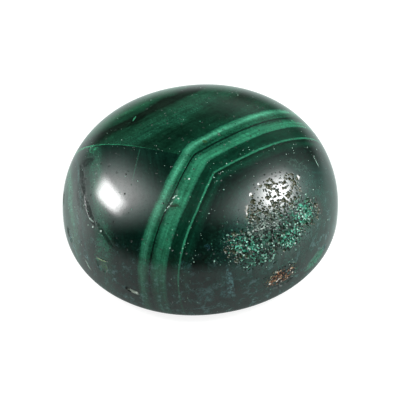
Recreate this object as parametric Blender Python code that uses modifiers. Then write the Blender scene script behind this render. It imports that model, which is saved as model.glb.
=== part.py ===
"""Malachite gemstone: one oval cabochon, cut and polished from a single piece of banded malachite.

The stone is one solid. Its dome is a turned profile drawn out to an oval, and it rests on a flat base at z = 0.
A vuggy patch on the -Y side is dotted with small open pits, and its rim has a few shallow chips.
X runs along the stone's length, Y across it, and the origin is the centre of the base.
"""

import math
import random

import bmesh
import bpy
from mathutils import Matrix, Vector

MM = 0.001

# Driving dimensions of the cut stone
LENGTH = 20.0 * MM
WIDTH = 18.5 * MM
HEIGHT = 8.2 * MM
GIRDLE_HEIGHT = 1.0 * MM
BEVEL_WIDTH = 0.9 * MM

# 2 gives a true ellipse, and more gives fuller shoulders
PLAN_POWER = 2.07
DOME_POWER = 2.5
BEVEL_POWER = 1.5

# How finely the turned form is divided
TURN_STEPS = 88
DOME_STEPS = 19
BEVEL_STEPS = 3
MERGE = 0.001 * MM

# A place on the dome is a bearing round the stone from +X and a climb from the girdle, 0, to the apex, 90.
# Each patch of pits: bearing, climb, half its length round the stone, half its height, number of pits.
PIT_PATCHES = {
    "bright_side": (-49, 53, 2.3 * MM, 1.2 * MM, 24),
    "far_end": (-39, 33, 0.9 * MM, 0.9 * MM, 7),
    "middle": (-57, 32, 1.6 * MM, 0.8 * MM, 9),
    "near_end": (-82, 38, 0.9 * MM, 1.0 * MM, 8),
}
PIT_RADIUS = (0.13 * MM, 0.26 * MM)
PIT_DEPTH_SHARE = 0.75
PIT_GAP = 0.07 * MM
PIT_SEED = 7

# Each chip: bearing, climb, half its length round the stone, half its height, depth.
CHIPS = {
    "long_spall": (-44, 5, 1.20 * MM, 0.42 * MM, 0.09 * MM),
    "notch": (-148, 11, 0.62 * MM, 0.55 * MM, 0.14 * MM),
    "nick": (-132, 8, 0.55 * MM, 0.22 * MM, 0.12 * MM),
    "flake": (-171, 8, 0.80 * MM, 0.45 * MM, 0.08 * MM),
    "far_flake": (172, 12, 0.55 * MM, 0.35 * MM, 0.07 * MM),
    "ore_hollow": (-65, 5, 0.85 * MM, 0.24 * MM, 0.10 * MM),
}
CHIP_REACH = 1.2 * MM

MALACHITE_GREEN = (0.010, 0.075, 0.042, 1.0)


def clear_scene():
    for old in list(bpy.data.objects):
        bpy.data.objects.remove(old, do_unlink=True)


def new_collection(name):
    made = bpy.data.collections.new(name)
    bpy.context.scene.collection.children.link(made)
    return made


def rim_radius(bearing):
    """Distance from the stone's axis to the girdle, in that direction."""
    across = abs(math.cos(bearing)) / (LENGTH / 2)
    along = abs(math.sin(bearing)) / (WIDTH / 2)
    return (across**PLAN_POWER + along**PLAN_POWER) ** (-1 / PLAN_POWER)


def dome_section(climb):
    """Share of the rim radius, and height, of the dome's profile at that climb."""
    reach = math.cos(climb) ** (2 / DOME_POWER)
    rise = math.sin(climb) ** (2 / DOME_POWER)
    return reach, GIRDLE_HEIGHT + (HEIGHT - GIRDLE_HEIGHT) * rise


def dome_point(bearing, climb):
    reach, height = dome_section(climb)
    out = rim_radius(bearing) * reach
    return Vector((out * math.cos(bearing), out * math.sin(bearing), height))


def dome_frame(bearing, climb):
    """Point on the dome and its three directions: round the stone, up the dome and straight out."""
    step = math.radians(0.5)
    point = dome_point(bearing, climb)
    around = (dome_point(bearing + step, climb) - dome_point(bearing - step, climb)).normalized()
    up = (dome_point(bearing, climb + step) - dome_point(bearing, climb - step)).normalized()
    return point, around, up, around.cross(up).normalized()


def profile_points():
    """Half of the stone's section at +X, from the apex down over the girdle and in along the base."""
    radius = LENGTH / 2
    points = [(0.0, HEIGHT)]
    for step in range(1, DOME_STEPS + 1):
        reach, height = dome_section(math.radians(90) * (1 - step / DOME_STEPS))
        points.append((radius * reach, height))
    for step in range(1, BEVEL_STEPS + 1):
        turn = math.radians(90) * step / BEVEL_STEPS
        drawn_in = BEVEL_WIDTH * (1 - math.cos(turn) ** (2 / BEVEL_POWER))
        points.append((radius - drawn_in, GIRDLE_HEIGHT * (1 - math.sin(turn) ** (2 / BEVEL_POWER))))
    points.append((0.0, 0.0))
    return points


def turned_mesh(points):
    """The profile turned once round Z with a Screw modifier."""
    outline = bpy.data.meshes.new("profile")
    edges = [(i, i + 1) for i in range(len(points) - 1)]
    outline.from_pydata([(x, 0.0, z) for x, z in points], edges, [])
    turned = bpy.data.objects.new("profile", outline)
    bpy.context.scene.collection.objects.link(turned)
    screw = turned.modifiers.new("turn", "SCREW")
    screw.axis = "Z"
    screw.angle = math.radians(360)
    screw.steps = TURN_STEPS
    screw.render_steps = TURN_STEPS
    screw.use_merge_vertices = True
    screw.merge_threshold = MERGE
    graph = bpy.context.evaluated_depsgraph_get()
    mesh = bpy.data.meshes.new_from_object(turned.evaluated_get(graph))
    bpy.data.objects.remove(turned, do_unlink=True)
    bpy.data.meshes.remove(outline)
    return mesh


def draw_out_to_oval(mesh):
    """Moves each ring of the round form onto the stone's oval plan."""
    for vertex in mesh.vertices:
        share = math.hypot(vertex.co.x, vertex.co.y) / (LENGTH / 2)
        if share > 0:
            bearing = math.atan2(vertex.co.y, vertex.co.x)
            out = share * rim_radius(bearing)
            vertex.co.x = out * math.cos(bearing)
            vertex.co.y = out * math.sin(bearing)


def add_object(name, mesh, collection):
    made = bpy.data.objects.new(name, mesh)
    collection.objects.link(made)
    return made


def add_cutter(name, bm, collection):
    mesh = bpy.data.meshes.new(name)
    bm.to_mesh(mesh)
    bm.free()
    cutter = add_object(name, mesh, collection)
    cutter.hide_render = True
    cutter.display_type = "WIRE"
    return cutter


def placed(point, around, up, out, sizes):
    """Matrix that stretches a unit ball by sizes along the three directions and sets it at point."""
    axes = Matrix((around * sizes[0], up * sizes[1], out * sizes[2])).transposed()
    return Matrix.Translation(point) @ axes.to_4x4()


def pit_places():
    """Centre and radius of each pit, scattered over the patches so that no two run together."""
    chance = random.Random(PIT_SEED)
    found = []
    for bearing, climb, half_length, half_height, wanted in PIT_PATCHES.values():
        middle, around, up, _ = dome_frame(math.radians(bearing), math.radians(climb))
        patch = []
        while len(patch) < wanted:
            angle = chance.uniform(0, 2 * math.pi)
            spread = math.sqrt(chance.random())
            radius = chance.uniform(*PIT_RADIUS)
            beside = middle + around * (half_length * spread * math.cos(angle))
            beside += up * (half_height * spread * math.sin(angle))
            spot = nearest_on_dome(beside)
            if all((spot - other).length > radius + size + PIT_GAP for other, size in found + patch):
                patch.append((spot, radius))
        found += patch
    return found


def nearest_on_dome(point):
    """Point of the dome on the line from the middle of the base to that point."""
    low, high = 0.5, 1.5
    for _ in range(30):
        middle = (low + high) / 2
        if beyond_dome(point * middle):
            high = middle
        else:
            low = middle
    return point * low


def beyond_dome(point):
    bearing = math.atan2(point.y, point.x)
    reach = math.hypot(point.x, point.y) / rim_radius(bearing)
    rise = (point.z - GIRDLE_HEIGHT) / (HEIGHT - GIRDLE_HEIGHT)
    return reach**DOME_POWER + max(rise, 0.0) ** DOME_POWER > 1


def outward(point):
    """Direction straight out of the dome at a point of it."""
    bearing = math.atan2(point.y, point.x)
    rise = (point.z - GIRDLE_HEIGHT) / (HEIGHT - GIRDLE_HEIGHT)
    climb = math.asin(min(1.0, rise) ** (DOME_POWER / 2))
    return dome_frame(bearing, climb)[3]


def make_pit_cutter(collection):
    chance = random.Random(PIT_SEED)
    bm = bmesh.new()
    for spot, radius in pit_places():
        out = outward(spot)
        around = out.orthogonal().normalized()
        around.rotate(Matrix.Rotation(chance.uniform(0, math.pi), 3, out))
        centre = spot + out * (radius * (1 - PIT_DEPTH_SHARE))
        sizes = (radius, radius * chance.uniform(0.7, 1.0), radius)
        matrix = placed(centre, around, out.cross(around), out, sizes)
        bmesh.ops.create_icosphere(bm, subdivisions=1, radius=1.0, matrix=matrix)
    return add_cutter("pit_cutter", bm, collection)


def make_chip_cutter(collection):
    """Each chip is the tip of a large flattened ball, which leaves a shallow shell-shaped hollow."""
    bm = bmesh.new()
    for bearing, climb, half_length, half_height, depth in CHIPS.values():
        spot, around, up, out = dome_frame(math.radians(bearing), math.radians(climb))
        stretch = 1 / math.sqrt(1 - (1 - depth / CHIP_REACH) ** 2)
        sizes = (half_length * stretch, half_height * stretch, CHIP_REACH)
        matrix = placed(spot + out * (CHIP_REACH - depth), around, up, out, sizes)
        bmesh.ops.create_icosphere(bm, subdivisions=3, radius=1.0, matrix=matrix)
    return add_cutter("chip_cutter", bm, collection)


def cut(target, cutter):
    boolean = target.modifiers.new(cutter.name, "BOOLEAN")
    boolean.operation = "DIFFERENCE"
    boolean.solver = "EXACT"
    boolean.object = cutter


def malachite():
    material = bpy.data.materials.new("polished malachite")
    material.use_nodes = True
    shader = material.node_tree.nodes["Principled BSDF"]
    shader.inputs["Base Color"].default_value = MALACHITE_GREEN
    shader.inputs["Roughness"].default_value = 0.12
    shader.inputs["Metallic"].default_value = 0.0
    return material


def make_cabochon(collection, cutters):
    mesh = turned_mesh(profile_points())
    mesh.name = "cabochon"
    draw_out_to_oval(mesh)
    mesh.shade_smooth()
    mesh.set_sharp_from_angle(angle=math.radians(35))
    stone = add_object("cabochon", mesh, collection)
    stone.data.materials.append(malachite())
    cut(stone, make_pit_cutter(cutters))
    cut(stone, make_chip_cutter(cutters))
    return stone


def main():
    clear_scene()
    parts = new_collection("Malachite gemstone")
    cutters = new_collection("Cutters")
    make_cabochon(parts, cutters)


main()
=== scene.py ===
import math
import random

import bmesh
import bpy
from mathutils import Matrix, Vector, kdtree, noise


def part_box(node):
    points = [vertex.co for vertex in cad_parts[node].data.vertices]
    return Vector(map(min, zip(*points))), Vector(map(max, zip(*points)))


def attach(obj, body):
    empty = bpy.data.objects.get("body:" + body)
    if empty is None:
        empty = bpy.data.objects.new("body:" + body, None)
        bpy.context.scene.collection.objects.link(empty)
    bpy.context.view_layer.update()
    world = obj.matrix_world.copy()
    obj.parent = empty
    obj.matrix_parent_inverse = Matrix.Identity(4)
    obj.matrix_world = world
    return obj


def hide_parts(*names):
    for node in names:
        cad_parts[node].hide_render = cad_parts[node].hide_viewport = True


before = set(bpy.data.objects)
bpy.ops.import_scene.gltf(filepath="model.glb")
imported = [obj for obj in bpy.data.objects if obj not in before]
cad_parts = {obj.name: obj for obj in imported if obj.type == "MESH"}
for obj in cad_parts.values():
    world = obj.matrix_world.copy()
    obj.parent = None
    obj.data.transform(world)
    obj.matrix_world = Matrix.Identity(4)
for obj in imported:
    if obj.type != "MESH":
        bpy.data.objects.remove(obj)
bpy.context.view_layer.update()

mm = 0.001


def hexColour(code):                       # sRGB hex to the linear colour that Blender wants
    linear = []
    for place in (1, 3, 5):
        value = int(code[place:place + 2], 16) / 255
        linear.append(value / 12.92 if value <= 0.04045 else ((value + 0.055) / 1.055) ** 2.4)
    return (*linear, 1.0)


def addNode(tree, kind, inputs=(), output=None, stops=None, **settings):
    node = tree.nodes.new("ShaderNode" + kind)
    for name, value in settings.items():
        setattr(node, name, value)
    if stops:                              # a ramp's colours, each with its place from 0 to 1
        elements = node.color_ramp.elements
        elements.remove(elements[-1])
        elements[0].position, elements[0].color = stops[0]
        for place, colour in stops[1:]:
            elements.new(place).color = colour
    named = {socket.name: socket for socket in reversed(node.inputs) if socket.enabled}
    for place, value in (inputs.items() if isinstance(inputs, dict) else enumerate(inputs)):
        socket = named[place] if isinstance(place, str) else node.inputs[place]
        if isinstance(value, bpy.types.NodeSocket):
            tree.links.new(value, socket)
        else:
            socket.default_value = value
    if output:
        return node.outputs[output]
    return next(socket for socket in node.outputs if socket.enabled)


# The cut stone, in millimetres. Its length, width and height come from the frame.
lowest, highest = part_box("cabochon")
stone = {
    "length": (highest.x - lowest.x) / mm,
    "width": (highest.y - lowest.y) / mm,
    "height": highest.z / mm,
    "girdle": 1.0,                         # height of the widest line
    "bevel": 0.9,                          # how far the underside is drawn in
    "planPower": 2.07,                     # 2 is a true ellipse, more is fuller
    "domePower": 2.5,
    "bevelPower": 1.5,
    "turnSteps": 200,
    "domeSteps": 60,
    "bevelSteps": 8,
    "baseSteps": 8,
    "fineCuts": 7,                         # extra cuts where the stone is pitted or chipped
    "fineMargin": 0.30,
    "sharpAngle": 50,                      # degrees between faces from which an edge stays sharp
}

# A place on the dome is a bearing from +X and a climb from the girdle, 0, to the top, 90.
# Patches of open pits: bearing, climb, half length round the stone, half height, number of pits.
patches = {
    "brightSide": (-49, 53, 2.3, 1.2, 24),
    "farEnd": (-39, 33, 0.9, 0.9, 7),
    "middle": (-57, 32, 1.6, 0.8, 9),
    "nearEnd": (-82, 38, 0.9, 1.0, 8),
}
pits = {
    "radius": (0.13, 0.26), "gap": 0.07, "seed": 7,          # the large ones, as they are cut in the solid
    "openAt": 0.25,                                     # share of the radius that its centre stands proud
    "mouth": 0.78,                                      # each opens a little narrower than in the solid
    "fineRadius": (0.05, 0.11), "fineSpread": 1.15, "fineSeed": 11, "finePerPit": 8,
    "ragged": 0.28, "raggedScale": 7.0,
    "colourEdge": 2.5,                                  # how fast a pit's colour sets in
    "fade": 1.7,                                        # how far past a patch the pores run out
}
# Chips at the rim: bearing, climb, half length, half height, depth.
chips = {
    "longSpall": (-44, 5, 1.20, 0.42, 0.09),
    "notch": (-147, 13, 0.55, 0.42, 0.06),
    "nick": (-132, 8, 0.55, 0.22, 0.12),
    "flake": (-171, 8, 0.80, 0.45, 0.08),
    "farFlake": (172, 12, 0.55, 0.35, 0.07),
    "oreHollow": (-65, 5, 0.85, 0.24, 0.10),
}
# How steep a chip's wall is, how fast its colour sets in, and the shell-shaped ridges on its floor.
chipForm = {"wall": 2.5, "colourEdge": 4.0, "ripple": 0.25, "ripplesPerMm": 5.0, "raggedScale": 0.5}
# Where the stone is an open crust of small crystals: bearing, climb, half length, half height.
crust = {
    "crackle": (-67, 40, 2.5, 1.2),
    "farEnd": (-42, 36, 1.2, 0.9),
    "middle": (-55, 31, 1.2, 0.8),
    "crumbs": (-72, 28, 1.3, 0.6),
    "rust": (-65, 10.5, 1.25, 0.70),
}
# The relief starts where the crust is this thick, and the crust runs out at fade times its half size.
crustRelief = {"depth": 0.03, "scale": 7.5, "finer": 0.6, "fade": 1.7, "from": 0.42, "steep": 4.0}


def rimRadius(bearing):
    across = abs(math.cos(bearing)) / (stone["length"] / 2)
    along = abs(math.sin(bearing)) / (stone["width"] / 2)
    return (across ** stone["planPower"] + along ** stone["planPower"]) ** (-1 / stone["planPower"])


def domePoint(bearing, climb):
    reach = math.cos(climb) ** (2 / stone["domePower"])
    rise = math.sin(climb) ** (2 / stone["domePower"])
    out = rimRadius(bearing) * reach
    height = stone["girdle"] + (stone["height"] - stone["girdle"]) * rise
    return Vector((out * math.cos(bearing), out * math.sin(bearing), height))


def domeFrame(bearing, climb):             # the point, and the ways round the stone, up it and straight out
    step = math.radians(0.5)
    around = (domePoint(bearing + step, climb) - domePoint(bearing - step, climb)).normalized()
    up = (domePoint(bearing, climb + step) - domePoint(bearing, climb - step)).normalized()
    return domePoint(bearing, climb), around, up, around.cross(up).normalized()


def fullness(point):                       # 1 on the dome, less inside it
    bearing = math.atan2(point.y, point.x)
    reach = math.hypot(point.x, point.y) / rimRadius(bearing)
    rise = (point.z - stone["girdle"]) / (stone["height"] - stone["girdle"])
    return reach ** stone["domePower"] + max(rise, 0.0) ** stone["domePower"]


def ontoDome(point):                       # along the line from the middle of the base
    low, high = 0.5, 1.5
    for _ in range(30):
        middle = (low + high) / 2
        if fullness(point * middle) > 1:
            high = middle
        else:
            low = middle
    return point * low


def spotIn(patch, chance, widest):         # somewhere in the patch, or past it where widest is over 1
    bearing, climb, halfLength, halfHeight = patch[:4]
    middle, around, up, _ = domeFrame(math.radians(bearing), math.radians(climb))
    angle = chance.uniform(0, 2 * math.pi)
    spread = widest * math.sqrt(chance.random())
    beside = middle + around * (halfLength * spread * math.cos(angle))
    beside += up * (halfHeight * spread * math.sin(angle))
    return ontoDome(beside)


def pitPlaces():                           # the large pits, in the same places as in the solid
    chance = random.Random(pits["seed"])
    found = []
    for row in patches.values():
        patch = []
        while len(patch) < row[4]:
            spot = spotIn(row, chance, 1.0)
            radius = chance.uniform(*pits["radius"])
            if all((spot - other).length > radius + size + pits["gap"] for other, size in found + patch):
                patch.append((spot, radius))
        found += patch
    return found


def finePitPlaces():                       # many small ones, thick in the patches and thinning out past them
    chance = random.Random(pits["fineSeed"])
    found = []
    for row in patches.values():
        for _ in range(row[4] * pits["finePerPit"]):
            spot = spotIn(row, chance, pits["fineSpread"])
            found.append((spot, chance.uniform(*pits["fineRadius"])))
    return found


def stoneSection():                        # from beside the top down over the girdle and in along the base
    radius = stone["length"] / 2
    section = []
    for step in range(1, stone["domeSteps"] + 1):
        section.append(domePoint(0.0, math.radians(90) * (1 - step / stone["domeSteps"])))
    for step in range(1, stone["bevelSteps"] + 1):
        turn = math.radians(90) * step / stone["bevelSteps"]
        drawnIn = stone["bevel"] * (1 - max(math.cos(turn), 0.0) ** (2 / stone["bevelPower"]))
        height = stone["girdle"] * (1 - math.sin(turn) ** (2 / stone["bevelPower"]))
        section.append(Vector((radius - drawnIn, 0, height)))
    for step in range(1, stone["baseSteps"] + 1):
        inward = (radius - stone["bevel"]) * (1 - step / stone["baseSteps"])
        section.append(Vector((inward, 0, 0)))
    return section


def turnedStone():
    bm = bmesh.new()
    last = bm.verts.new((0, 0, stone["height"]))
    for point in stoneSection():
        vert = bm.verts.new(point)
        bm.edges.new((last, vert))
        last = vert
    bmesh.ops.spin(bm, geom=bm.verts[:] + bm.edges[:], cent=(0, 0, 0), axis=(0, 0, 1),
                   angle=math.radians(360), steps=stone["turnSteps"], use_merge=True)
    bmesh.ops.remove_doubles(bm, verts=bm.verts, dist=0.001)
    for vert in bm.verts:                  # the round form is drawn out to the oval plan
        bearing = math.atan2(vert.co.y, vert.co.x)
        out = math.hypot(vert.co.x, vert.co.y) / (stone["length"] / 2) * rimRadius(bearing)
        vert.co.x, vert.co.y = out * math.cos(bearing), out * math.sin(bearing)
    bmesh.ops.recalc_face_normals(bm, faces=bm.faces)
    return bm


def areas(table, margin):                  # frames of the patches, chips or crust, with their half sizes
    found = []
    for bearing, climb, halfLength, halfHeight, *_ in table.values():
        middle, around, up, out = domeFrame(math.radians(bearing), math.radians(climb))
        found.append((middle, around, up, out, halfLength + margin, halfHeight + margin))
    return found


def reachIn(point, area):                  # 0 at an area's middle, 1 at its edge
    middle, around, up, _, halfLength, halfHeight = area
    offset = point - middle
    if offset.length > 2.5 * max(halfLength, halfHeight):      # also keeps the far side of the stone out
        return 9.0
    return math.hypot(offset.dot(around) / halfLength, offset.dot(up) / halfHeight)


def refine(bm):
    rough = areas(patches, stone["fineMargin"]) + areas(crust, stone["fineMargin"])
    rough += areas(chips, stone["fineMargin"] / 2)
    edges = set()
    for face in bm.faces:
        centre = face.calc_center_median()
        if any(reachIn(centre, area) < 1 for area in rough):
            edges.update(face.edges)
    bmesh.ops.subdivide_edges(bm, edges=list(edges), cuts=stone["fineCuts"], use_grid_fill=True)
    for vert in bm.verts:                  # the new points go out onto the curve
        rise = vert.co.z - stone["girdle"]
        if rise > 0.01:
            size = fullness(vert.co) ** (-1 / stone["domePower"])
            vert.co = Vector((vert.co.x * size, vert.co.y * size, stone["girdle"] + rise * size))
    bm.normal_update()


def paintAreas(bm):                        # how crystalline, pitted or sawn each point is
    for name, table, fade in (("crystals", crust, crustRelief["fade"]), ("pitted", patches, pits["fade"])):
        layer = bm.verts.layers.float.new(name)
        found = areas(table, 0)
        for vert in bm.verts:
            reach = min(reachIn(vert.co, area) for area in found)
            vert[layer] = max(0.0, 1 - reach / fade)
    sawn = bm.verts.layers.float.new("sawn")
    for vert in bm.verts:
        vert[sawn] = 1.0 if vert.co.z < 0.001 else 0.0


def ragged(point, seed):                   # an uneven edge, from a little noise in space
    return 1 + pits["ragged"] * noise.noise(point * pits["raggedScale"] + Vector((seed, 0, 0)))


def sinkSurface(bm):                       # pits, chips and the crust's relief, sunk straight into the stone
    bm.verts.ensure_lookup_table()
    tree = kdtree.KDTree(len(bm.verts))
    for vert in bm.verts:
        tree.insert(vert.co, vert.index)
    tree.balance()
    sunk = {}
    hollow = bm.verts.layers.float.new("hollow")
    chipped = bm.verts.layers.float.new("chipped")
    crystals = bm.verts.layers.float["crystals"]
    large = [(spot, radius * pits["mouth"]) for spot, radius in pitPlaces()]
    for spot, radius in large + finePitPlaces():
        for at, index, distance in tree.find_range(spot, radius * (1 + pits["ragged"])):
            share = distance / (radius * ragged(at, radius))
            if share < 1:
                openAt = pits["openAt"]
                depth = radius * (math.sqrt(1 - (1 - openAt ** 2) * share ** 2) - openAt)
                sunk[index] = max(sunk.get(index, 0), depth)
                inside = min(1, pits["colourEdge"] * (1 - share))
                bm.verts[index][hollow] = max(bm.verts[index][hollow], inside)
    for chip, area in zip(chips.values(), areas(chips, 0)):
        for at, index, _ in tree.find_range(area[0], 1.3 * chip[2]):
            share = (reachIn(at, area) / ragged(at * chipForm["raggedScale"], chip[2])) ** 2
            if share < 1:
                ripple = 1 + chipForm["ripple"] * noise.noise(at * chipForm["ripplesPerMm"])
                depth = chip[4] * min(1, chipForm["wall"] * (1 - share)) * ripple
                sunk[index] = max(sunk.get(index, 0), depth)
                bm.verts[index][chipped] = min(1, chipForm["colourEdge"] * (1 - share))
    for vert in bm.verts:
        if vert[crystals] > crustRelief["from"]:
            spot = vert.co * crustRelief["scale"]
            lump = noise.noise(spot) + crustRelief["finer"] * noise.noise(spot * 2)
            share = min(1, crustRelief["steep"] * (vert[crystals] - crustRelief["from"]))
            sunk[vert.index] = sunk.get(vert.index, 0) + crustRelief["depth"] * share * max(0, lump)
    normals = {index: bm.verts[index].normal.copy() for index in sunk}
    for index, depth in sunk.items():
        bm.verts[index].co -= normals[index] * depth
    return sunk


def polishedNormals(bm, sunk):                 # the curve's own normals, so that the mirrored lamps stay even
    step = 0.01
    found = []
    for vert in bm.verts:
        if vert.index in sunk or vert.co.z < stone["girdle"] + 2 * step:
            found.append((0.0, 0.0, 0.0))      # left as the faces give it
            continue
        ways = (Vector((step, 0, 0)), Vector((0, step, 0)), Vector((0, 0, step)))
        slope = Vector([fullness(vert.co + way) - fullness(vert.co - way) for way in ways])
        found.append(slope.normalized())
    return found


def makeStone():
    bm = turnedStone()
    refine(bm)
    paintAreas(bm)
    sunk = sinkSurface(bm)
    normals = polishedNormals(bm, sunk)
    bmesh.ops.scale(bm, vec=(mm, mm, mm), verts=bm.verts)
    mesh = bpy.data.meshes.new("polished_cabochon")
    bm.to_mesh(mesh)
    bm.free()
    mesh.shade_smooth()
    mesh.set_sharp_from_angle(angle=math.radians(stone["sharpAngle"]))
    mesh.normals_split_custom_set_from_vertices(normals)
    made = bpy.data.objects.new("polished_cabochon", mesh)
    bpy.context.scene.collection.objects.link(made)
    triangles = sum(len(face.vertices) - 2 for face in mesh.polygons)
    print("stone:", len(mesh.polygons), "faces,", triangles, "triangles")
    return made


cabochon = makeStone()
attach(cabochon, "root")
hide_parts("cabochon")


# Malachite grows in layers. Here they are flat sheets in families, each with its own normal, and a place
# in them is a distance in millimetres. Two families meet in a bend, and a third lies beyond a vein.
layers = {
    "near": (0.727, -0.658, 0.197),            # the arm that runs down the front
    "far": (0.383, -0.901, 0.014),             # the arm that runs off to the right
    "left": (0.995, -0.093, 0.022),            # the stone's left end
    "upper": (0.317, -0.749, -0.581),          # the sheets beyond the vein, at the back left
    "vein": (0.579, 1.0, 0.235), "veinAt": 0.391,
    "hairline": (0.924, -0.380, 0.0), "hairlineAt": -4.11, "hairlineHalfWidth": 0.035,
    # the same sheets in the two arms: distance in the far arm, distance in the near arm
    "farToNear": ((-8.3, -6.7), (-0.43, 1.14), (0.16, 1.73), (0.60, 1.95), (0.96, 2.24), (1.57, 3.07),
                  (2.61, 3.84), (3.39, 4.55), (9.7, 10.9)),
    "bulgeAlong": (0.671, 0.741, 0.0),         # the near arm swells out towards the bend
    "bulgeFrom": -4.6, "bulgeTo": -1.0, "bulge": 0.29,
    "bendAt": (1.2, 3.8), "bendSoftness": (0.30, 0.06),      # rounder in the first sheets than in the later
    "waves": ((0.45, 0.05), (2.6, 0.04)),      # scale per mm and reach in mm
}
# Colour by distance in millimetres along the layers.
bends = [
    (0.95, "#08241b"), (1.10, "#0d3527"), (1.20, "#1f5b43"), (1.32, "#347a5d"), (1.45, "#3e8669"),
    (1.56, "#35795d"), (1.68, "#225a43"), (1.80, "#144531"), (1.91, "#154733"), (1.945, "#050e0a"),
    (1.985, "#050e0a"), (2.02, "#154432"), (2.18, "#1c523c"), (2.30, "#286a4f"), (2.50, "#2b7155"),
    (2.62, "#26654b"), (2.88, "#2c7355"), (3.00, "#256049"), (3.12, "#0a2e20"), (3.45, "#0a2d20"),
    (3.75, "#0c3727"), (3.80, "#2d7458"), (3.86, "#2d7458"), (3.91, "#071f15"), (4.05, "#09261b"),
    (4.25, "#0d3527"), (4.45, "#0b2a1f"), (4.62, "#071813"), (5.50, "#081b14"), (6.40, "#11302a"),
    (7.60, "#173830"), (9.00, "#1b3c33")]
lowerLeft = [
    (-10.0, "#20352b"), (-9.50, "#2a4a3c"), (-9.30, "#3f6d59"), (-9.10, "#44755f"), (-8.95, "#2f463c"),
    (-8.80, "#2a2c2a"), (-8.58, "#1f2b28"), (-8.50, "#2f4a48"), (-8.42, "#1e322b"), (-8.22, "#101d17"),
    (-7.85, "#11221b"), (-7.62, "#183b2e"), (-7.30, "#1f4c3b"), (-6.95, "#1b4434"), (-6.75, "#0e2f24"),
    (-6.40, "#07211a"), (-1.00, "#071f17")]
upperLeft = [
    (-11.5, "#1c2a20"), (-9.85, "#1e2c22"), (-9.60, "#1c4532"), (-9.15, "#1f5139"), (-8.90, "#163c2b"),
    (-8.68, "#111d16"), (-8.30, "#101f17"), (-8.12, "#163929"), (-7.60, "#183f2e"), (-7.05, "#164130"),
    (-6.75, "#103324"), (-6.45, "#0c281c"), (-5.70, "#0b281c"), (-5.00, "#0f3626")]
# The colours of the milky film, which is partly painted reflection of the floor, by the value of a patchy
# noise.
milkyAndReflected = [(0.38, "#0f1916"), (0.45, "#463a3c"), (0.50, "#2a302e"), (0.55, "#2c4a42"), (0.62, "#6f898c")]


def rampStops(table):                          # places from 0 to 1 along the table, with their colours
    start, end = table[0][0], table[-1][0]
    return [((place - start) / (end - start), hexColour(code)) for place, code in table]


def layerFields(tree, place):                  # every point's place in the sheets, and its side of the vein
    waved = place
    for scale, reach in layers["waves"]:
        wave = addNode(tree, "TexNoise", {"Vector": place, "Scale": scale, "Detail": 2.0}, "Color")
        centred = addNode(tree, "VectorMath", (wave, (0.5, 0.5, 0.5)), operation="SUBTRACT")
        waved = addNode(tree, "VectorMath", (centred, (reach, reach, reach), waved), operation="MULTIPLY_ADD")
    field = {}
    for name in ("near", "far", "left", "upper", "vein", "hairline"):
        field[name] = addNode(tree, "VectorMath", (waved, layers[name]), "Value", operation="DOT_PRODUCT")
    along = addNode(tree, "VectorMath", (waved, layers["bulgeAlong"]), "Value", operation="DOT_PRODUCT")
    bulge = addNode(tree, "MapRange", (along, layers["bulgeFrom"], layers["bulgeTo"], 0.0, layers["bulge"]))
    field["near"] = addNode(tree, "Math", (field["near"], bulge), operation="ADD")
    farAsNear = layers["farToNear"][0][1]
    for (start, low), (end, high) in zip(layers["farToNear"], layers["farToNear"][1:]):
        piece = addNode(tree, "MapRange", (field["far"], start, end, 0.0, high - low))
        farAsNear = addNode(tree, "Math", (piece, farAsNear), operation="ADD")
    first = addNode(tree, "Math", (field["near"], farAsNear), operation="MINIMUM")
    softness = addNode(tree, "MapRange", (first, *layers["bendAt"], *layers["bendSoftness"]))
    field["bend"] = addNode(tree, "Math", (field["near"], farAsNear, softness), operation="SMOOTH_MIN")
    field["past"] = addNode(tree, "Math", (field["vein"], layers["veinAt"]), operation="SUBTRACT")
    field["fromVein"] = addNode(tree, "Math", (field["past"],), operation="ABSOLUTE")
    field["isAbove"] = addNode(tree, "MapRange", (field["past"], -0.03, 0.03))
    field["isBend"] = addNode(tree, "MapRange", (field["bend"], bends[0][0], bends[1][0]))
    outside = addNode(tree, "Mix", {"Factor": field["isAbove"], "A": field["left"], "B": field["upper"]},
                      data_type="FLOAT")
    field["layer"] = addNode(tree, "Mix", {"Factor": field["isBend"], "A": outside, "B": field["bend"]},
                             data_type="FLOAT")
    return field


def layerColour(tree, field, streaks):
    colours = []
    for table, distance, wander in ((lowerLeft, field["left"], 0.55), (upperLeft, field["upper"], 0.75),
                                    (bends, field["bend"], 0.03)):
        centred = addNode(tree, "Math", (streaks, 0.5), operation="SUBTRACT")
        moved = addNode(tree, "Math", (centred, wander, distance), operation="MULTIPLY_ADD")
        share = addNode(tree, "MapRange", (moved, table[0][0], table[-1][0]))
        colours.append(addNode(tree, "ValToRGB", (share,), "Color", rampStops(table)))
    outside = {"Factor": field["isAbove"], "A": colours[0], "B": colours[1]}
    outside = addNode(tree, "Mix", outside, data_type="RGBA")
    return addNode(tree, "Mix", {"Factor": field["isBend"], "A": outside, "B": colours[2]}, data_type="RGBA")


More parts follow.
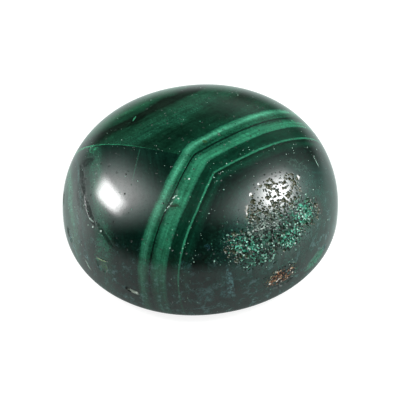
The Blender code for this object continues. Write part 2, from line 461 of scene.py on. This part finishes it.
# Small marks: bearing, climb, half length, half height, turn in degrees, colour, strength, depth in mm.
marks = {
    "greenSpall": (-45, 4, 1.30, 0.55, 0, "#357a60", 0.70, 0.0),
    "brownCloud": (50, 58, 2.30, 1.30, 8, "#33382b", 0.25, 0.0),
    "brownHaze": (-32, 30, 0.75, 0.36, -118, "#4a3430", 0.60, 0.0),
    "brownHazeLow": (-85, 11, 0.76, 0.40, -20, "#3a3230", 0.50, 0.0),
    # painted light: a pale glow in the halo of the right lamp
    "paintedRightGlow": (-19, 50, 1.10, 0.50, -90, "#3f5a50", 0.45, 0.0),
    "lowGreen": (-149, 23, 2.00, 0.75, -78, "#2a6a52", 0.60, 0.0),
    "topGreen": (172, 47, 0.70, 0.42, 3, "#27604a", 0.50, 0.0),
    "leftGrey": (-167, 13, 0.90, 0.60, -25, "#4a5f52", 0.50, 0.0),
    "streakTop": (167, 41, 0.80, 0.40, 80, "#0b1210", 0.75, 0.01),
    "streakBroad": (-177, 34, 1.40, 0.50, -15, "#0b1210", 0.75, 0.01),
    "streakMiddle": (177, 37, 1.60, 0.26, -2, "#0b1210", 0.85, 0.015),
    "streakLow": (-165, 34, 1.40, 0.24, -15, "#0b1210", 0.85, 0.015),
    "streakEnd": (-152, 32, 1.40, 0.18, -15, "#0c1a15", 0.80, 0.01),
    "brownStreak": (-123, 62, 0.50, 0.30, 8, "#1f3222", 0.85, 0.0),
    "brownCore": (-123, 62, 0.34, 0.10, 8, "#1a2012", 0.80, 0.0),
    "scuffOne": (-125, 66, 0.12, 0.04, 60, "#c6dcd0", 0.85, 0.01),
    "scuffTwo": (-124, 67, 0.13, 0.035, 20, "#b6d2c4", 0.80, 0.01),
    "scuffThree": (-121, 66, 0.08, 0.05, -30, "#b6d2c4", 0.70, 0.01),
    "scuffFour": (-125, 63, 0.13, 0.035, 75, "#9fc4b2", 0.75, 0.01),
    "scuffFive": (-126, 61, 0.12, 0.04, 70, "#a9c8b8", 0.70, 0.01),
    "scuffSix": (-127, 59, 0.10, 0.04, 80, "#8fb5a4", 0.60, 0.01),
    "speckOnB": (-117, 76, 0.07, 0.05, 10, "#e0f0e8", 0.90, 0.0),
    "ironDot": (31, 89, 0.20, 0.13, 20, "#2a4424", 0.80, 0.01),
    "scuff": (-126, 65, 0.80, 0.16, -97, "#123428", 0.60, 0.01),
    "notchOlive": (-146, 14, 0.42, 0.27, 14, "#42602f", 0.70, 0.0),
    # painted highlight: the pale, lit edge of the notch
    "notchEdgeHighlight": (-148, 17, 0.50, 0.07, 16, "#7f9a68", 0.85, 0.0),
    # painted shade: the dark side wall of the notch
    "notchSideShade": (-144, 16, 0.34, 0.05, -62, "#0a1a12", 0.90, 0.0),
    "notchShade": (-147, 18, 0.60, 0.05, 16, "#06140e", 0.90, 0.02),
    # painted reflection: a pale fringe along the lowest rim, where the polish mirrors the floor
    "lowRimReflection": (-155, 6, 0.50, 0.08, -34, "#93a596", 0.80, 0.0),
    "leftRimReflection": (-168, 10, 0.48, 0.16, -46, "#86a07c", 0.75, 0.0),
    "paleNick": (-131, 7, 0.50, 0.09, -6, "#a9b3a6", 0.85, 0.0),
    "chipRidge": (-162, 32, 0.34, 0.06, 9, "#9fb0a8", 0.70, 0.02),
    "leftDot": (-159, 30, 0.08, 0.07, 41, "#c9d8d0", 0.95, 0.0),
    "middleDot": (-154, 32, 0.09, 0.07, 38, "#c0d4ca", 0.95, 0.0),
    "ringDent": (177, 39, 0.20, 0.12, 60, "#0d1714", 0.70, 0.03),
    "dentOne": (177, 55, 0.12, 0.11, 0, "#15251f", 0.30, 0.02),
    "dentTwo": (173, 51, 0.10, 0.09, 0, "#15251f", 0.50, 0.02),
    "dentThree": (-175, 58, 0.10, 0.09, 0, "#15251f", 0.40, 0.02),
    "blueSmear": (-89, 17, 1.45, 0.26, -86, "#648f92", 0.75, 0.0),
    "blueSmearLow": (-91, 11, 0.60, 0.42, -70, "#547c80", 0.60, 0.0),
    "blueSmearLeft": (-100, 12, 0.90, 0.60, -80, "#527878", 0.60, 0.0),
    "blueSmearMiddle": (-109, 30, 0.50, 0.45, -60, "#375c5a", 0.50, 0.0),
    "blueSmearHigh": (-98, 41, 0.30, 0.20, -38, "#2a4c58", 0.60, 0.0),
    "lowScratch": (-102, 3, 0.84, 0.05, 9, "#5b7a7c", 0.60, 0.0),
    "brightFleck": (135, 60, 0.32, 0.06, 15, "#3c8f6b", 0.85, 0.0),
    "rightScratch": (-10, 39, 0.46, 0.05, 34, "#8fb5a4", 0.75, 0.02),
    "paleVein": (160, 44, 0.50, 0.30, 60, "#358a64", 0.85, 0.0),
}
# Marks that the stone's mottling breaks up less than the others.
solidMarks = ("greenSpall", "streakTop", "streakMiddle", "streakLow", "streakEnd")
# Crystals of one kind grow in clusters: bearing, climb, half length, half height, turn, kind.
clusters = {
    # painted light: these crystals are lightened as the glow of the right lamp that they lie in
    "middleCrystalsInGlow": (-64, 46, 1.5, 0.75, 0, "grey"),
    "farGreen": (-42, 36, 1.20, 0.80, -12, "turquoise"),
    "middleGreen": (-55, 30, 1.15, 0.60, -9, "turquoise"),
    "nearGreen": (-80, 39, 1.35, 0.60, -42, "turquoise"),
    "lowGreen": (-77, 33, 0.60, 0.30, -37, "turquoise"),
    "crumbs": (-67, 25, 1.10, 0.40, -30, "dark"),
    "rust": (-65, 10.5, 1.40, 0.80, 0, "rust"),
}
crystalKinds = {
    "turquoise": [(0.0, "#020d09"), (0.25, "#08291e"), (0.42, "#14503e"), (0.65, "#2b8468"),
                  (0.85, "#52b294"), (1.0, "#bfe8d9")],
    "dark": [(0.0, "#020705"), (0.40, "#0c251c"), (0.70, "#1d4a3a"), (0.90, "#3a7a64"), (1.0, "#a9d0c0")],
    # crystals of their own dull colour, lightened with painted glow of the right lamp
    "grey": [(0.0, "#111a16"), (0.40, "#35453e"), (0.75, "#5b6d63"), (0.93, "#84948a"), (1.0, "#c3cfc8")],
    "rust": [(0.0, "#040302"), (0.42, "#150a05"), (0.55, "#47210f"), (0.75, "#7c4526"),
             (0.90, "#b08763"), (1.0, "#f2eade")],
}
finish = {
    "ior": 1.72,                               # malachite runs from 1.66 to 1.91
    # roughness
    "polish": 0.05, "open": 0.30, "broken": 0.22, "sawn": 0.55, "crystal": 0.16, "ground": 0.40,
    "sheetsPerMm": 6.0,                        # fine growth sheets, about twice as coarse as the real ones
    "fibresPerMm": 6.0, "grainPerMm": 8.0,
    "specksPerMm": 5.0, "speckRadius": (0.022, 0.0572), "speckDepth": 0.012,
    "poresPerMm": 5.5, "poreRadius": (0.034, 0.085), "poreDepth": 0.03,
    "crystalsPerMm": 9.0,                      # crystals in the open crust, about 0.1 mm across
    "dullTilt": 0.45, "glintTilt": 1.3,        # how far a crystal's face leans
    "glints": 0.20,                            # the share of the crystals that glint, the rest is dull
    "sawMarksPerMm": 1.5, "sawDepth": 0.02,
    "grainDepth": 0.0012, "mottleDepth": 0.0016,
    "streaksPerMm": 1.6, "alongSheets": 0.35, "alongFibres": 0.8,     # how fast the noises change, per mm
    "fibreWay": (0.66, 0.72, 0.0),             # the sheets' own direction, level
    "bright": {"sheets": 0.34, "fibres": 0.14, "clouds": 0.30, "grain": 0.30},      # reach in brightness
}
# Where a part of the look sets in, and what it's worth: from, to, and the values there (else 0 and 1).
ranges = {
    "patternReach": (0.3, 0.7),                # nearly all of a noise lies between these
    "paleToRight": (-4.0, 4.0, 0.90, 1.08),    # mm along X
    "mottledPastBends": (4.0, 5.5, 0.0, 0.24), "mottledAtLeft": (-6.5, -7.5, 0.0, 0.40),
    "mottled": (0.52, 0.68),
    "filmAndReflection": (6.1, 2.3, 0.0, 0.70), "filmAndReflectionPatches": (0.35, 0.65, 0.7, 1.0),      # mm above the base
    "veinHalfWidth": (-8.6, -7.0, 0.24, 0.05), "veinFades": (-6.6, -2.6, 0.9, 0.0),
    "veinEdge": (1.0, 0.6), "veinBroken": (0.42, 0.56, 0.25, 1.0),
    "hairline": (-2.2, -1.2, 0.0, 0.28), "belowVein": (-0.1, -0.3),
    "markBroken": (0.46, 0.60, 0.06, 1.0), "markNearlyWhole": (0.40, 0.50, 0.15, 1.0),
    "markEdge": (1.05, 0.75),
    "specksPastBends": (3.2, 4.0, 0.0, 0.45), "specksThin": (4.3, 5.6, 1.0, 0.15),
    "specksNearVein": (0.6, 0.1, 0.0, 0.70), "specksAtLeft": (-6.8, -7.8, 0.0, 0.14),
    "dotEdge": (1.0, 0.5),
    "crust": (0.12, 0.75, 0.0, 0.9), "pores": (0.05, 0.60, 0.03, 0.80),
    "dusty": (0.50, 0.66, 0.0, 0.18),
    "mirrored": (0.0, 1.0, 0.5, 0.12),         # from polished to dull
}


def markShare(tree, place, row, ragged):       # 0 outside a mark and 1 in its middle, with an uneven edge
    bearing, climb, halfLength, halfHeight, turn = row[:5]
    at, around, up, out = domeFrame(math.radians(bearing), math.radians(min(climb, 89.4)))
    axes = Matrix((around, up, out)).transposed() @ Matrix.Rotation(math.radians(turn), 3, "Z")
    margin = 1.6                               # the ball around a mark is this much larger than the mark
    size = Vector((halfLength, halfHeight, max(halfLength, halfHeight))) * margin
    where = {"Vector": place, "Location": at, "Rotation": axes.to_euler(), "Scale": size}
    local = addNode(tree, "Mapping", where, vector_type="TEXTURE")
    inward = addNode(tree, "TexGradient", (local,), "Fac", gradient_type="SPHERICAL")
    uneven = {"Vector": local, "Scale": 1.6 * margin, "Detail": 3.0, "Roughness": 0.65}
    uneven = addNode(tree, "TexNoise", uneven)
    reach = addNode(tree, "Math", (inward, -margin, margin - ragged / 2), operation="MULTIPLY_ADD")
    reach = addNode(tree, "Math", (uneven, ragged, reach), operation="MULTIPLY_ADD")
    return addNode(tree, "MapRange", (reach, *ranges["markEdge"]))


def stonePatterns(tree, place, axes, field):   # the noises that the parts of the look share
    across, slowAcross, slow = [
        addNode(tree, "Math", (field["layer"], finish[name]), operation="MULTIPLY")
        for name in ("sheetsPerMm", "streaksPerMm", "alongFibres")]
    along = [addNode(tree, "Math", (axis, finish["alongSheets"]), operation="MULTIPLY") for axis in axes[:2]]
    tangent = addNode(tree, "VectorMath", (place, finish["fibreWay"]), "Value", operation="DOT_PRODUCT")
    standing = [addNode(tree, "Math", (axis, finish["fibresPerMm"]), operation="MULTIPLY")
                for axis in (tangent, axes[2])]
    sheetPlace = addNode(tree, "CombineXYZ", (across, *along))
    streakPlace = addNode(tree, "CombineXYZ", (slowAcross, *along))
    fibrePlace = addNode(tree, "CombineXYZ", (slow, *standing))
    noises = {                                 # place, scale, detail, roughness
        "sheets": (sheetPlace, 1.0, 3.0, 0.60),          # growth sheets too thin to name
        "streaks": (streakPlace, 1.3, 4.0, 0.65),
        "fibres": (fibrePlace, 1.0, 2.0, 0.50),          # they stand across the sheets
        "clouds": (place, 0.9, 5.0, 0.65),
        "grain": (place, finish["grainPerMm"], 2.0, 0.50),
        "mottle": (place, 4.5, 4.0, 0.75),
        "patches": (place, 1.6, 6.0, 0.75),
    }
    pattern = {}
    for name, (where, scale, detail, roughness) in noises.items():
        settings = {"Vector": where, "Scale": scale, "Detail": detail, "Roughness": roughness}
        pattern[name] = addNode(tree, "TexNoise", settings)
    pattern["uneven"] = addNode(tree, "Math", (pattern["patches"], 0.5), operation="SUBTRACT")
    return pattern


def bandedColour(tree, axes, field, pattern):
    colour = layerColour(tree, field, pattern["streaks"])
    bright = addNode(tree, "MapRange", (axes[0], *ranges["paleToRight"]))
    for name, reach in finish["bright"].items():
        share = (pattern[name], *ranges["patternReach"], 1 - reach, 1 + reach)
        share = addNode(tree, "MapRange", share)
        bright = addNode(tree, "Math", (share, bright), operation="MULTIPLY")
    colour = addNode(tree, "HueSaturation", {"Color": colour, "Value": bright})

    # dark sheets past the bends are mottled with grains of lighter green
    shown = addNode(tree, "MapRange", (field["bend"], *ranges["mottledPastBends"]))
    leftOf = addNode(tree, "MapRange", (field["left"], *ranges["mottledAtLeft"]))
    shown = addNode(tree, "Math", (shown, leftOf), operation="MAXIMUM")
    mottled = addNode(tree, "MapRange", (pattern["mottle"], *ranges["mottled"]))
    mottled = addNode(tree, "Math", (mottled, shown), operation="MULTIPLY")
    mottled = {"Factor": mottled, "A": colour, "B": hexColour("#2a6350")}
    return addNode(tree, "Mix", mottled, data_type="RGBA")


# Towards the rim the polish is worn, and a milky film lies over the sheets, brown and bluish in patches; it
# is partly the stone's own film and partly painted reflection of the pale floor on the lower dome.
def filmAndReflectionColour(tree, colour, axes, pattern):
    filmAndReflection = addNode(tree, "MapRange", (axes[2], *ranges["filmAndReflection"]))
    uneven = addNode(tree, "MapRange", (pattern["clouds"], *ranges["filmAndReflectionPatches"]))
    filmAndReflection = addNode(tree, "Math", (filmAndReflection, uneven), operation="MULTIPLY")
    stops = [(value, hexColour(code)) for value, code in milkyAndReflected]
    tint = addNode(tree, "ValToRGB", (pattern["patches"],), "Color", stops)
    return addNode(tree, "Mix", {"Factor": filmAndReflection, "A": colour, "B": tint}, data_type="RGBA")


# The vein is wide and bright at the stone's end, thinner and broken up towards the bend.
def veinColour(tree, colour, axes, field, pattern):
    halfWidth = addNode(tree, "MapRange", (axes[0], *ranges["veinHalfWidth"]))
    inVein = addNode(tree, "Math", (field["fromVein"], halfWidth), operation="DIVIDE")
    inVein = addNode(tree, "MapRange", (inVein, *ranges["veinEdge"]))
    fades = addNode(tree, "MapRange", (axes[0], *ranges["veinFades"]))
    broken = addNode(tree, "MapRange", (pattern["mottle"], *ranges["veinBroken"]))
    fades = addNode(tree, "Math", (fades, broken), operation="MULTIPLY")
    inVein = addNode(tree, "Math", (inVein, fades), operation="MULTIPLY")
    inVein = {"Factor": inVein, "A": colour, "B": hexColour("#37946c")}
    colour = addNode(tree, "Mix", inVein, data_type="RGBA")

    # a hairline in the dark sheets at the left
    onHairline = (field["hairline"], layers["hairlineAt"], layers["hairlineHalfWidth"])
    onHairline = addNode(tree, "Math", onHairline, operation="COMPARE")
    shown = addNode(tree, "MapRange", (axes[1], *ranges["hairline"]))
    below = addNode(tree, "MapRange", (field["past"], *ranges["belowVein"]))
    shown = addNode(tree, "Math", (shown, below), operation="MULTIPLY")
    shown = addNode(tree, "Math", (shown, onHairline), operation="MULTIPLY")
    return addNode(tree, "Mix", {"Factor": shown, "A": colour, "B": hexColour("#2b6650")}, data_type="RGBA")


def paintMarks(tree, colour, place, pattern):  # broken up by the stone's own mottling
    relief, worn = 0.0, 0.0
    broken = addNode(tree, "MapRange", (pattern["mottle"], *ranges["markBroken"]))
    nearlyWhole = addNode(tree, "MapRange", (pattern["mottle"], *ranges["markNearlyWhole"]))
    for name, row in marks.items():
        code, strength, depth = row[5:]
        share = markShare(tree, place, row, 0.9)
        texture = nearlyWhole if name in solidMarks else broken
        if min(row[2], row[3]) < 0.15:         # too small to be broken up
            texture = 1.0
        factor = addNode(tree, "Math", (share, strength), operation="MULTIPLY")
        factor = addNode(tree, "Math", (factor, texture), operation="MULTIPLY")
        painted = {"Factor": factor, "A": colour, "B": hexColour(code)}
        colour = addNode(tree, "Mix", painted, data_type="RGBA")
        if depth:
            relief = addNode(tree, "Math", (share, -depth, relief), operation="MULTIPLY_ADD")
            worn = addNode(tree, "Math", (factor, worn), operation="MAXIMUM")
    return colour, relief, worn


# Round dots, one in each chosen cell of space. The higher the power, the more of them are small.
def scatteredDots(tree, place, perMm, crowd, radius, power):
    cell = {"Vector": place, "Scale": perMm}
    fromDot = addNode(tree, "TexVoronoi", cell, "Distance")
    tint = addNode(tree, "TexVoronoi", cell, "Color")
    chance, size = [addNode(tree, "SeparateColor", (tint,), channel) for channel in ("Red", "Green")]
    chosen = addNode(tree, "Math", (chance, crowd), operation="LESS_THAN")
    size = addNode(tree, "Math", (size, power), operation="POWER")
    size = addNode(tree, "MapRange", (size, 0.0, 1.0, radius[0] * perMm, radius[1] * perMm))
    dot = addNode(tree, "Math", (fromDot, size), operation="DIVIDE")
    dot = addNode(tree, "MapRange", (dot, *ranges["dotEdge"]))
    return addNode(tree, "Math", (dot, chosen), operation="MULTIPLY")


# Specks are tiny dents, painted pale as the glint of light caught in them, thick in the dark sheets past the
# bends and along the vein.
def addSpecks(tree, colour, relief, place, field):
    pastBends = addNode(tree, "MapRange", (field["bend"], *ranges["specksPastBends"]))
    thins = addNode(tree, "MapRange", (field["bend"], *ranges["specksThin"]))
    pastBends = addNode(tree, "Math", (pastBends, thins), operation="MULTIPLY")
    nearVein = addNode(tree, "MapRange", (field["fromVein"], *ranges["specksNearVein"]))
    crowd = addNode(tree, "Math", (pastBends, nearVein), operation="MAXIMUM")
    nearLeft = addNode(tree, "MapRange", (field["left"], *ranges["specksAtLeft"]))
    crowd = addNode(tree, "Math", (crowd, nearLeft), operation="MAXIMUM")
    crowd = addNode(tree, "Math", (crowd, 0.02), operation="ADD")         # a few lie everywhere
    speck = scatteredDots(tree, place, finish["specksPerMm"], crowd, finish["speckRadius"], 4.0)
    # painted highlight: the pale colour stands in for each speck's glint
    paint = addNode(tree, "Math", (speck, 0.65), operation="MULTIPLY")
    colour = addNode(tree, "Mix", {"Factor": paint, "A": colour, "B": hexColour("#a9d4be")}, data_type="RGBA")
    relief = addNode(tree, "Math", (speck, -finish["speckDepth"], relief), operation="MULTIPLY_ADD")
    return colour, relief


# The open crust is made of small crystals, in clusters of bright green, greyish, black and iron brown; the
# greyish ones near the right lamp are lightened with painted glow.
def openCrust(tree, colour, place, painted, pattern):
    cell = {"Vector": place, "Scale": finish["crystalsPerMm"]}
    tint = addNode(tree, "TexVoronoi", cell, "Color")
    tintValue = addNode(tree, "SeparateColor", (tint,), "Red")
    scatter = addNode(tree, "SeparateColor", (tint,), "Green")
    isCrust = addNode(tree, "Math", (pattern["uneven"], 1.2, painted["crystals"]), operation="MULTIPLY_ADD")
    isCrust = addNode(tree, "MapRange", (isCrust, *ranges["crust"]))
    isCrystal = addNode(tree, "Math", (scatter, isCrust), operation="LESS_THAN")
    kinds = {}
    for name, table in crystalKinds.items():
        kinds[name] = addNode(tree, "ValToRGB", (tintValue,), "Color", rampStops(table))
    crustColour = kinds["dark"]
    for row in clusters.values():
        share = markShare(tree, place, row, 1.3)
        crustColour = addNode(tree, "Mix", {"Factor": share, "A": crustColour, "B": kinds[row[5]]},
                              data_type="RGBA")
    colour = addNode(tree, "Mix", {"Factor": isCrystal, "A": colour, "B": crustColour}, data_type="RGBA")
    inPit = {"Factor": pattern["mottle"], "A": hexColour("#0d0f07"), "B": hexColour("#5a5a30")}
    inPit = addNode(tree, "Mix", inPit, data_type="RGBA")
    inPit = addNode(tree, "Mix", {"Factor": isCrust, "A": inPit, "B": crustColour}, data_type="RGBA")
    colour = addNode(tree, "Mix", {"Factor": painted["hollow"], "A": colour, "B": inPit}, data_type="RGBA")
    return colour, tint, isCrystal


# Pores are pin pricks too small to model, crowded in the pitted patches and thinning out past them.
def addPores(tree, colour, relief, place, painted, pattern):
    crowd = addNode(tree, "Math", (pattern["uneven"], 1.4, painted["pitted"]), operation="MULTIPLY_ADD")
    crowd = addNode(tree, "MapRange", (crowd, *ranges["pores"]))
    pore = scatteredDots(tree, place, finish["poresPerMm"], crowd, finish["poreRadius"], 1.0)
    relief = addNode(tree, "Math", (pore, -finish["poreDepth"], relief), operation="MULTIPLY_ADD")
    # painted shade: each pore is darkened as the shade inside it
    paint = addNode(tree, "Math", (pore, 0.85), operation="MULTIPLY")
    colour = addNode(tree, "Mix", {"Factor": paint, "A": colour, "B": hexColour("#12140b")}, data_type="RGBA")
    return colour, relief, pore


# Each crystal's face is tilted its own way, so that a few of them catch a lamp; the others lie in shade.
def crystalFaces(tree, tint, isCrystal):
    shine = addNode(tree, "SeparateColor", (tint,), "Blue")
    isGlint = addNode(tree, "Math", (shine, finish["glints"]), operation="LESS_THAN")
    dulled = addNode(tree, "Math", (isCrystal, isGlint), operation="SUBTRACT")
    dulled = addNode(tree, "Math", (dulled, 0.55), operation="MULTIPLY")
    amount = addNode(tree, "MapRange", (isGlint, 0.0, 1.0, finish["dullTilt"], finish["glintTilt"]))
    amount = addNode(tree, "Math", (isCrystal, amount), operation="MULTIPLY")
    tilt = addNode(tree, "VectorMath", (tint, (0.5, 0.5, 0.5)), operation="SUBTRACT")
    tilt = addNode(tree, "VectorMath", {"Vector": tilt, "Scale": amount}, operation="SCALE")
    normal = addNode(tree, "NewGeometry", output="Normal")
    tilted = addNode(tree, "VectorMath", (normal, tilt), operation="ADD")
    tilted = addNode(tree, "VectorMath", (tilted,), operation="NORMALIZE")
    return tilted, dulled


def makeMalachite():                           # polished malachite: green copper carbonate, mirror-bright
    material = bpy.data.materials.new("polished malachite")
    material.use_nodes = True
    tree = material.node_tree
    tree.nodes.clear()
    objectPlace = addNode(tree, "TexCoord", output="Object")
    place = addNode(tree, "VectorMath", {"Vector": objectPlace, "Scale": 1 / mm}, operation="SCALE")
    axes = [addNode(tree, "SeparateXYZ", (place,), axis) for axis in "XYZ"]
    painted = {}
    for name in ("crystals", "hollow", "chipped", "sawn", "pitted"):
        painted[name] = addNode(tree, "Attribute", output="Fac", attribute_name=name)
    field = layerFields(tree, place)
    pattern = stonePatterns(tree, place, axes, field)

    # the colour, from the sheets outwards; the bevel below the girdle is ground, and its colour is darkened
    # as painted shade on the underside
    colour = bandedColour(tree, axes, field, pattern)
    colour = filmAndReflectionColour(tree, colour, axes, pattern)
    groundBevelShade = addNode(tree, "MapRange", (axes[2], stone["girdle"], 0.6 * stone["girdle"]))
    shade = {"Factor": groundBevelShade, "A": colour, "B": hexColour("#0c1210")}
    colour = addNode(tree, "Mix", shade, data_type="RGBA")
    colour = veinColour(tree, colour, axes, field, pattern)
    colour, relief, worn = paintMarks(tree, colour, place, pattern)
    colour, relief = addSpecks(tree, colour, relief, place, field)
    colour, tint, isCrystal = openCrust(tree, colour, place, painted, pattern)
    colour, relief, pore = addPores(tree, colour, relief, place, painted, pattern)
    sawPaint = addNode(tree, "Math", (painted["sawn"], 0.35), operation="MULTIPLY")
    sawPaint = {"Factor": sawPaint, "A": colour, "B": hexColour("#2f5a47")}
    colour = addNode(tree, "Mix", sawPaint, data_type="RGBA")

    # pores, marks, the bevel, dusty spots and most of the crystals mirror less than the polish
    tilted, dulled = crystalFaces(tree, tint, isCrystal)
    dusty = addNode(tree, "MapRange", (pattern["mottle"], *ranges["dusty"]))
    dull = pore
    for other in (dulled, worn, groundBevelShade, dusty):
        dull = addNode(tree, "Math", (other, dull), operation="MAXIMUM")
    mirrored = addNode(tree, "MapRange", (dull, *ranges["mirrored"]))

    # roughness and fine relief: polished all over, dull in the pits and chips and on the sawn base
    polish = finish["polish"]
    rough = (pattern["clouds"], *ranges["patternReach"], polish * 0.7, polish * 1.4)
    rough = addNode(tree, "MapRange", rough)
    places = ((painted["hollow"], "open"), (painted["chipped"], "broken"), (painted["sawn"], "sawn"),
              (isCrystal, "crystal"), (groundBevelShade, "ground"))
    for area, kind in places:
        roughHere = addNode(tree, "Math", (area, finish[kind]), operation="MULTIPLY")
        rough = addNode(tree, "Math", (rough, roughHere), operation="MAXIMUM")
    sawMarks = {"Vector": place, "Scale": finish["sawMarksPerMm"], "Distortion": 0.6}
    sawMarks = addNode(tree, "TexWave", sawMarks, bands_direction="X")
    sawDepth = addNode(tree, "Math", (painted["sawn"], finish["sawDepth"]), operation="MULTIPLY")
    relief = addNode(tree, "Math", (sawMarks, sawDepth, relief), operation="MULTIPLY_ADD")
    for name, depth in (("grain", finish["grainDepth"]), ("mottle", finish["mottleDepth"])):
        relief = addNode(tree, "Math", (pattern[name], depth, relief), operation="MULTIPLY_ADD")
    bump = addNode(tree, "Bump", {"Strength": 1.0, "Distance": mm, "Height": relief, "Normal": tilted})

    shader = tree.nodes.new("ShaderNodeBsdfPrincipled")
    shader.inputs["IOR"].default_value = finish["ior"]
    tree.links.new(colour, shader.inputs["Base Color"])
    tree.links.new(rough, shader.inputs["Roughness"])
    tree.links.new(mirrored, shader.inputs["Specular IOR Level"])
    tree.links.new(bump, shader.inputs["Normal"])
    result = tree.nodes.new("ShaderNodeOutputMaterial")
    tree.links.new(shader.outputs[0], result.inputs["Surface"])
    return material


cabochon.data.materials.append(makeMalachite())
print("malachite: layers, vein, specks,", len(marks), "marks and", len(clusters), "clusters of crystals")


# The studio: a pale floor, two soft lamps at the sides, and a dim surround that the polish mirrors.
studio = {
    "cameraTurn": -12.2, "cameraHeight": 52.0,               # degrees round the stone and above the floor
    "cameraDistance": 117.47, "lens": 144.0, "sensor": 36.0,
    "raise": 1.18, "aside": -0.03,                           # how far the view is centred above the base, mm
    "floorSize": 1200.0, "floorGlow": 0.88, "floorColour": "#8a8a88",
    "surround": 0.36, "horizonTilt": 10.0, "horizonSoftness": 12.0,
    "dimTint": (1.0, 1.20, 1.15, 1.0), "whiteFrom": (0.4, 3.0),   # the dim parts are cool, the lamps white
}
# Each glow: degrees round from the camera, degrees up, tilt, half length, half width, edge power, radiance.
glows = {
    "leftLamp": (-103, 35.5, 44, 13.0, 8.5, 4, 14.0),
    "leftDiffuser": (-107, 43, 0, 14.5, 20, 2, 4.4),
    "leftSpill": (-104, 24, -7, 26, 45, 4, 0.72),
    "rightLamp": (102.5, 47.6, 15, 12.2, 11, 3, 14.0),
    "rightDiffuser": (97, 49, 18, 16.5, 20, 2, 5.2),
    "rightSpill": (84, 25, 21, 45, 35, 4, 0.62),
    "leftTable": (-108, -20, 0, 38, 26, 2, 0.38),
    "rightTable": (95, -14, 0, 45, 28, 2, 0.12),
    "backTable": (168, -36, 0, 40, 24, 2, 0.35),
    "backWall": (165, 19, 0, 16, 14, 2, 0.30),
}


def viewWay(turn, height):                     # the way from the stone towards that place round it
    a, e = math.radians(studio["cameraTurn"] + turn), math.radians(height)
    return Vector((math.sin(a) * math.cos(e), -math.cos(a) * math.cos(e), math.sin(e)))


def makeFloor():
    bm = bmesh.new()
    bmesh.ops.create_grid(bm, x_segments=1, y_segments=1, size=studio["floorSize"] * mm)
    mesh = bpy.data.meshes.new("floor")
    bm.to_mesh(mesh)
    bm.free()
    floor = bpy.data.objects.new("floor", mesh)
    bpy.context.scene.collection.objects.link(floor)
    material = bpy.data.materials.new("white paper sweep")
    material.use_nodes = True
    shader = material.node_tree.nodes["Principled BSDF"]
    shader.inputs["Base Color"].default_value = hexColour(studio["floorColour"])
    shader.inputs["Roughness"].default_value = 1.0
    shader.inputs["Specular IOR Level"].default_value = 0.0
    shader.inputs["Emission Color"].default_value = (1, 1, 1, 1)
    shader.inputs["Emission Strength"].default_value = studio["floorGlow"]
    mesh.materials.append(material)
    floor.visible_glossy = False               # the polish mirrors the dimmer surround instead
    floor.visible_diffuse = False


def makeLight():
    world = bpy.data.worlds.new("studio surround")
    bpy.context.scene.world = world
    world.use_nodes = True
    tree = world.node_tree
    way = addNode(tree, "TexCoord", output="Generated")
    tilted = viewWay(180, 90 - studio["horizonTilt"])
    height = addNode(tree, "VectorMath", (way, tilted), "Value", operation="DOT_PRODUCT")
    edge = math.sin(math.radians(studio["horizonSoftness"]))
    light = addNode(tree, "MapRange", (height, edge, -edge, 0.0, studio["surround"]),
                    interpolation_type="SMOOTHSTEP")
    for turn, up, tilt, halfLength, halfWidth, power, radiance in glows.values():
        middle = viewWay(turn, up)
        side = viewWay(turn + 90, 0)
        above = middle.cross(side)
        lean = math.radians(tilt)
        long = side * math.cos(lean) + above * math.sin(lean)
        wide = above * math.cos(lean) - side * math.sin(lean)
        ahead = addNode(tree, "VectorMath", (way, middle), "Value", operation="DOT_PRODUCT")
        total = 0.0
        for axis, half in ((long, halfLength), (wide, halfWidth)):
            aside = addNode(tree, "VectorMath", (way, axis), "Value", operation="DOT_PRODUCT")
            angle = addNode(tree, "Math", (aside, ahead), operation="ARCTAN2")
            share = addNode(tree, "Math", (angle, math.radians(half)), operation="DIVIDE")
            share = addNode(tree, "Math", (share,), operation="ABSOLUTE")
            share = addNode(tree, "Math", (share, float(power)), operation="POWER")
            total = addNode(tree, "Math", (share, total), operation="ADD")
        falling = addNode(tree, "Math", (total, -1.0), operation="MULTIPLY")
        falling = addNode(tree, "Math", (falling,), operation="EXPONENT")
        light = addNode(tree, "Math", (falling, radiance, light), operation="MULTIPLY_ADD")
    bright = addNode(tree, "MapRange", (light, *studio["whiteFrom"]))
    tint = {"Factor": bright, "A": studio["dimTint"], "B": (1.0, 1.0, 1.0, 1.0)}
    tint = addNode(tree, "Mix", tint, data_type="RGBA")
    background = tree.nodes["Background"]
    tree.links.new(light, background.inputs["Strength"])
    tree.links.new(tint, background.inputs["Color"])


def makeCamera():
    data = bpy.data.cameras.new("camera")
    data.lens, data.sensor_width = studio["lens"], studio["sensor"]
    data.clip_start, data.clip_end = 10 * mm, 5000 * mm
    camera = bpy.data.objects.new("camera", data)
    bpy.context.scene.collection.objects.link(camera)
    back = viewWay(0, studio["cameraHeight"])
    turned = (-back).to_track_quat("-Z", "Y")
    up, right = turned @ Vector((0, 1, 0)), turned @ Vector((1, 0, 0))
    aim = up * studio["raise"] + right * studio["aside"]
    camera.location = (aim + back * studio["cameraDistance"]) * mm
    camera.rotation_mode = "QUATERNION"
    camera.rotation_quaternion = turned
    bpy.context.scene.camera = camera


makeFloor()
makeLight()
makeCamera()
bpy.context.scene.view_settings.view_transform = "Standard"
print("studio: floor, light and camera")
